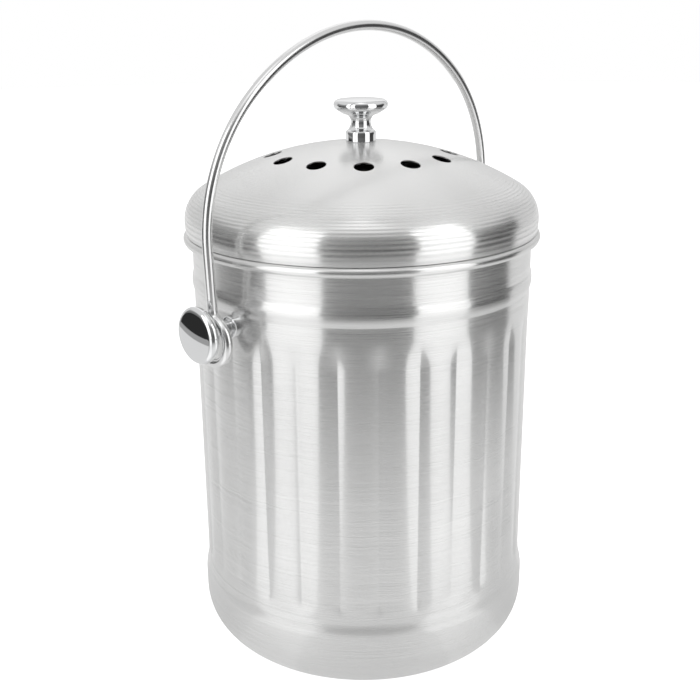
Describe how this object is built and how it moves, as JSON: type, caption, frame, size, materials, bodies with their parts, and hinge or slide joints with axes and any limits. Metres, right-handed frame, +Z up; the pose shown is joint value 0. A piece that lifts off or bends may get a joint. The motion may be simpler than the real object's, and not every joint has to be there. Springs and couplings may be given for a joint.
{
  "type": "countertop compost pail with lift-off lid",
  "caption": "Round steel kitchen compost pail with upright ribs, a vented domed lid that lifts off by its knob, a charcoal filter and a swinging wire bail.",
  "frame": {"origin": "on the floor, under the bucket's centre", "axes": "+Z up, +X along the bail's pivot line towards the right pivot, -Y the front, towards which the upright bail leans a little"},
  "size_m": [0.2272, 0.1872, 0.334],
  "materials": {
    "bucket_steel": "circumferentially brushed stainless steel sheet",
    "lid_steel": "turned and brushed stainless steel sheet",
    "wire_steel": "drawn and polished stainless steel wire",
    "bright_chrome": "polished chrome plate",
    "screw_steel": "zinc-plated screws and washers",
    "charcoal_felt": "matt black charcoal felt"
  },
  "bodies": {
    "bucket": {"bucket_body": "bucket_steel", "pivot_collar_left": "bright_chrome", "pivot_stub_left": "bright_chrome", "pivot_cap_left": "bright_chrome", "pivot_screw_left": "screw_steel", "pivot_washer_left": "screw_steel", "pivot_collar_right": "bright_chrome", "pivot_stub_right": "bright_chrome", "pivot_cap_right": "bright_chrome", "pivot_screw_right": "screw_steel", "pivot_washer_right": "screw_steel"},
    "bail": {"bail_handle": "wire_steel"},
    "lid": {"lid_dome": "lid_steel", "locating_ring": "lid_steel", "filter_tab_1": "lid_steel", "filter_tab_2": "lid_steel", "filter_tab_3": "lid_steel", "filter_tab_4": "lid_steel", "charcoal_filter": "charcoal_felt", "lid_knob": "bright_chrome", "knob_screw": "screw_steel", "knob_washer": "screw_steel"}
  },
  "joints": [
    {"name": "bail_swing", "type": "hinge", "parent": "bucket", "child": "bail", "pos_m": [0, 0, 0.1939], "axis": [1, 0, 0], "range_deg": [-139.6, 134.4]},
    {"name": "lid_lift", "type": "slide", "parent": "bucket", "child": "lid", "axis": [0, 0, 1], "range_m": [0, 0.018]}
  ]
}
